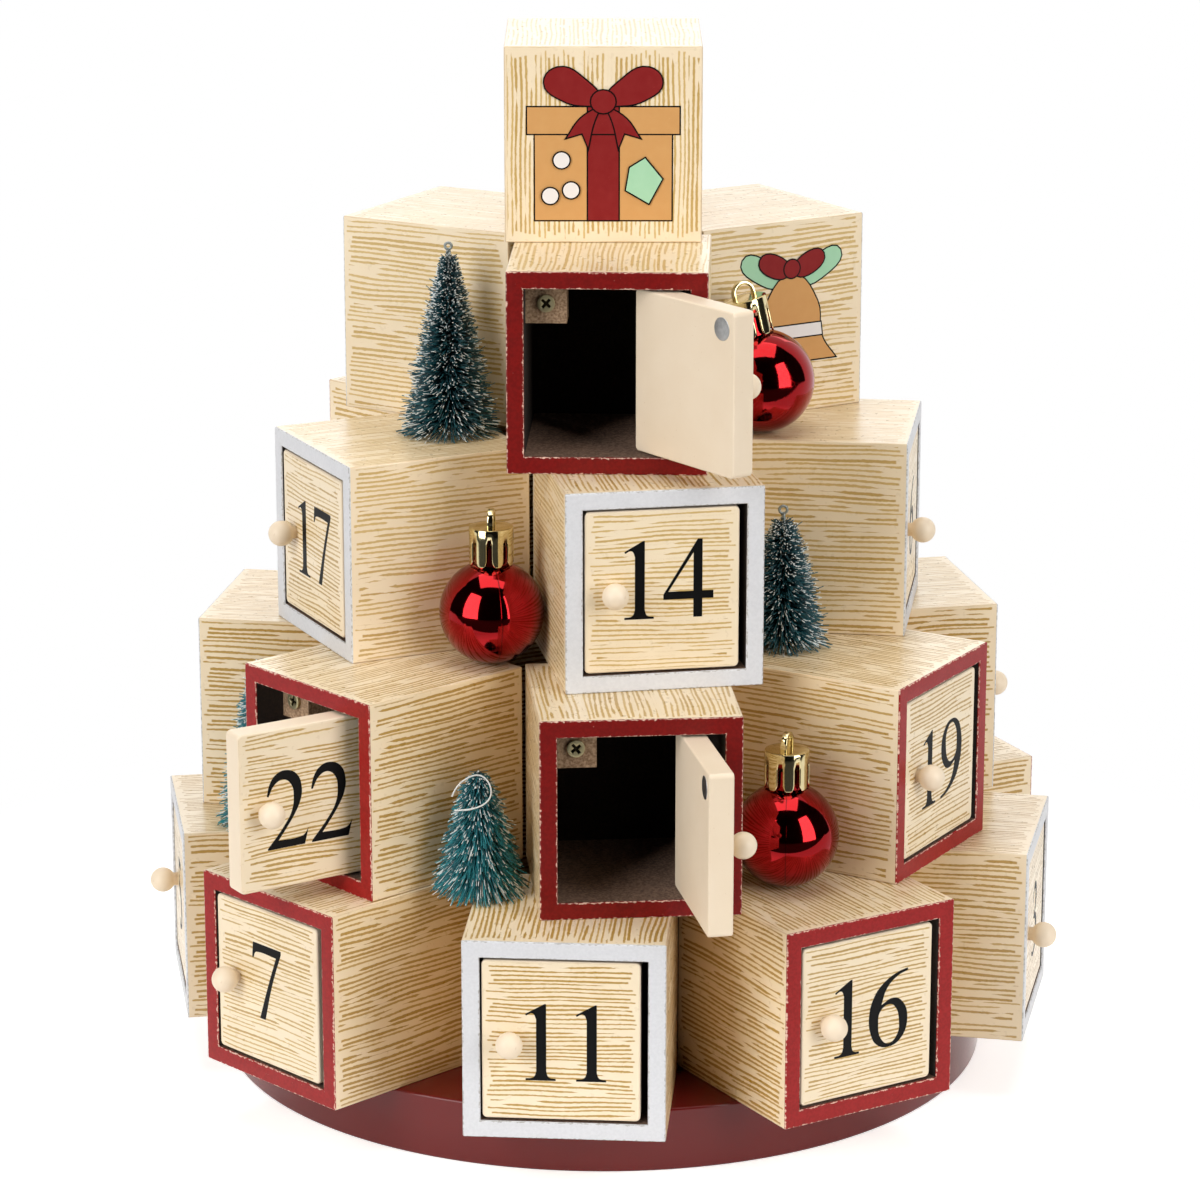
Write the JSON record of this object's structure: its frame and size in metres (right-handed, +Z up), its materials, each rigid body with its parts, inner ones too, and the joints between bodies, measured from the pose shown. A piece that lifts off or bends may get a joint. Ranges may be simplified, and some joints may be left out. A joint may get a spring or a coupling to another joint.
{
  "type": "wooden advent calendar",
  "caption": "Tree-shaped wooden advent calendar: rings of numbered boxes with pivoting doors on a round base, with a closed cube on top, baubles and brush trees.",
  "frame": {"origin": "middle of the base disc's underside", "axes": "+Z up, -Y towards the front, +X to the right"},
  "size_m": [0.2903, 0.3071, 0.326],
  "materials": {
    "printed_wood": "cream paint with a printed grain, satin",
    "base_lacquer": "gloss lacquer",
    "raw_wood": "raw fibreboard",
    "steel": "zinc plated",
    "bauble_red": "mirror gloss",
    "bauble_gold": "metallised, polished",
    "bristle_green": "frosted bristle tips",
    "red_paint": "painted frame edges, satin",
    "white_paint": "painted frame edges, satin",
    "knob_wood": "painted turned wood, satin",
    "number_ink": "printed ink"
  },
  "bodies": {
    "calendar": {"base_disc": "base_lacquer", "topper_cube": "printed_wood", "box_11": "printed_wood", "box_16": "printed_wood", "box_03": "printed_wood", "box_20": "printed_wood", "box_09": "printed_wood", "box_01": "printed_wood", "box_13": "printed_wood", "box_05": "printed_wood", "box_07": "printed_wood", "box_04": "printed_wood", "box_19": "printed_wood", "box_08": "printed_wood", "box_15": "printed_wood", "box_02": "printed_wood", "box_10": "printed_wood", "box_22": "printed_wood", "box_14": "printed_wood", "box_06": "printed_wood", "box_23": "printed_wood", "box_12": "printed_wood", "box_17": "printed_wood", "box_24": "printed_wood", "box_18": "printed_wood", "box_21": "printed_wood", "catch_blocks": "raw_wood", "catch_screws": "steel", "bauble_globes": "bauble_red", "bauble_caps": "bauble_gold", "brush_tree_1": "bristle_green", "brush_tree_2": "bristle_green", "brush_tree_3": "bristle_green", "brush_tree_4": "bristle_green", "brush_tree_5": "bristle_green"},
    "door_11": {"door_11": "printed_wood"},
    "door_16": {"door_16": "printed_wood"},
    "door_03": {"door_03": "printed_wood"},
    "door_20": {"door_20": "printed_wood"},
    "door_09": {"door_09": "printed_wood"},
    "door_01": {"door_01": "printed_wood"},
    "door_13": {"door_13": "printed_wood"},
    "door_05": {"door_05": "printed_wood"},
    "door_07": {"door_07": "printed_wood"},
    "door_04": {"door_04": "printed_wood"},
    "door_19": {"door_19": "printed_wood"},
    "door_08": {"door_08": "printed_wood"},
    "door_15": {"door_15": "printed_wood"},
    "door_02": {"door_02": "printed_wood"},
    "door_10": {"door_10": "printed_wood"},
    "door_22": {"door_22": "printed_wood"},
    "door_14": {"door_14": "printed_wood"},
    "door_06": {"door_06": "printed_wood"},
    "door_23": {"door_23": "printed_wood"},
    "door_12": {"door_12": "printed_wood"},
    "door_17": {"door_17": "printed_wood"},
    "door_24": {"door_24": "printed_wood"},
    "door_18": {"door_18": "printed_wood"},
    "door_21": {"door_21": "printed_wood"}
  },
  "joints": [
    {"name": "door_11_hinge", "type": "hinge", "parent": "calendar", "child": "door_11", "pos_m": [0.00415, -0.14156, 0.05075], "axis": [0, 0, 1], "range_deg": [0, 130]},
    {"name": "door_16_hinge", "type": "hinge", "parent": "calendar", "child": "door_16", "pos_m": [0.09056, -0.11038, 0.05075], "axis": [0, 0, 1], "range_deg": [0, 130]},
    {"name": "door_03_hinge", "type": "hinge", "parent": "calendar", "child": "door_03", "pos_m": [0.13604, -0.02126, 0.05075], "axis": [0, 0, 1], "range_deg": [0, 130]},
    {"name": "door_20_hinge", "type": "hinge", "parent": "calendar", "child": "door_20", "pos_m": [0.11867, 0.07297, 0.05075], "axis": [0, 0, 1], "range_deg": [0, 130]},
    {"name": "door_09_hinge", "type": "hinge", "parent": "calendar", "child": "door_09", "pos_m": [0.044, 0.13218, 0.05075], "axis": [0, 0, 1], "range_deg": [0, 130]},
    {"name": "door_01_hinge", "type": "hinge", "parent": "calendar", "child": "door_01", "pos_m": [-0.05126, 0.12954, 0.05075], "axis": [0, 0, 1], "range_deg": [0, 130]},
    {"name": "door_13_hinge", "type": "hinge", "parent": "calendar", "child": "door_13", "pos_m": [-0.12253, 0.06629, 0.05075], "axis": [0, 0, 1], "range_deg": [0, 130]},
    {"name": "door_05_hinge", "type": "hinge", "parent": "calendar", "child": "door_05", "pos_m": [-0.12954, -0.03122, 0.05075], "axis": [0, 0, 1], "range_deg": [0, 130]},
    {"name": "door_07_hinge", "type": "hinge", "parent": "calendar", "child": "door_07", "pos_m": [-0.08743, -0.10951, 0.05075], "axis": [0, 0, 1], "range_deg": [0, 130]},
    {"name": "door_04_hinge", "type": "hinge", "parent": "calendar", "child": "door_04", "pos_m": [0.02624, -0.11764, 0.11225], "axis": [0, 0, 1], "range_deg": [-96, 34]},
    {"name": "door_19_hinge", "type": "hinge", "parent": "calendar", "child": "door_19", "pos_m": [0.10804, -0.05276, 0.11225], "axis": [0, 0, 1], "range_deg": [0, 130]},
    {"name": "door_08_hinge", "type": "hinge", "parent": "calendar", "child": "door_08", "pos_m": [0.11264, 0.04425, 0.11225], "axis": [0, 0, 1], "range_deg": [0, 130]},
    {"name": "door_15_hinge", "type": "hinge", "parent": "calendar", "child": "door_15", "pos_m": [0.02753, 0.11604, 0.11225], "axis": [0, 0, 1], "range_deg": [0, 130]},
    {"name": "door_02_hinge", "type": "hinge", "parent": "calendar", "child": "door_02", "pos_m": [-0.07356, 0.09388, 0.11225], "axis": [0, 0, 1], "range_deg": [0, 130]},
    {"name": "door_10_hinge", "type": "hinge", "parent": "calendar", "child": "door_10", "pos_m": [-0.12129, -0.00206, 0.11225], "axis": [0, 0, 1], "range_deg": [0, 130]},
    {"name": "door_22_hinge", "type": "hinge", "parent": "calendar", "child": "door_22", "pos_m": [-0.07571, -0.09607, 0.11225], "axis": [0, 0, 1], "range_deg": [-80.5, 49.5]},
    {"name": "door_14_hinge", "type": "hinge", "parent": "calendar", "child": "door_14", "pos_m": [0.03287, -0.08679, 0.17375], "axis": [0, 0, 1], "range_deg": [0, 130]},
    {"name": "door_06_hinge", "type": "hinge", "parent": "calendar", "child": "door_06", "pos_m": [0.09574, 0.00886, 0.17375], "axis": [0, 0, 1], "range_deg": [0, 130]},
    {"name": "door_23_hinge", "type": "hinge", "parent": "calendar", "child": "door_23", "pos_m": [0.03182, 0.10061, 0.17375], "axis": [0, 0, 1], "range_deg": [0, 130]},
    {"name": "door_12_hinge", "type": "hinge", "parent": "calendar", "child": "door_12", "pos_m": [-0.0765, 0.06067, 0.17375], "axis": [0, 0, 1], "range_deg": [0, 130]},
    {"name": "door_17_hinge", "type": "hinge", "parent": "calendar", "child": "door_17", "pos_m": [-0.07897, -0.05189, 0.17375], "axis": [0, 0, 1], "range_deg": [0, 130]},
    {"name": "door_24_hinge", "type": "hinge", "parent": "calendar", "child": "door_24", "pos_m": [0.0167, -0.07181, 0.23525], "axis": [0, 0, 1], "range_deg": [-129.5, 0.5]},
    {"name": "door_18_hinge", "type": "hinge", "parent": "calendar", "child": "door_18", "pos_m": [0.05481, 0.05638, 0.23525], "axis": [0, 0, 1], "range_deg": [0, 130]},
    {"name": "door_21_hinge", "type": "hinge", "parent": "calendar", "child": "door_21", "pos_m": [-0.0712, 0.02473, 0.23525], "axis": [0, 0, 1], "range_deg": [0, 130]}
  ]
}
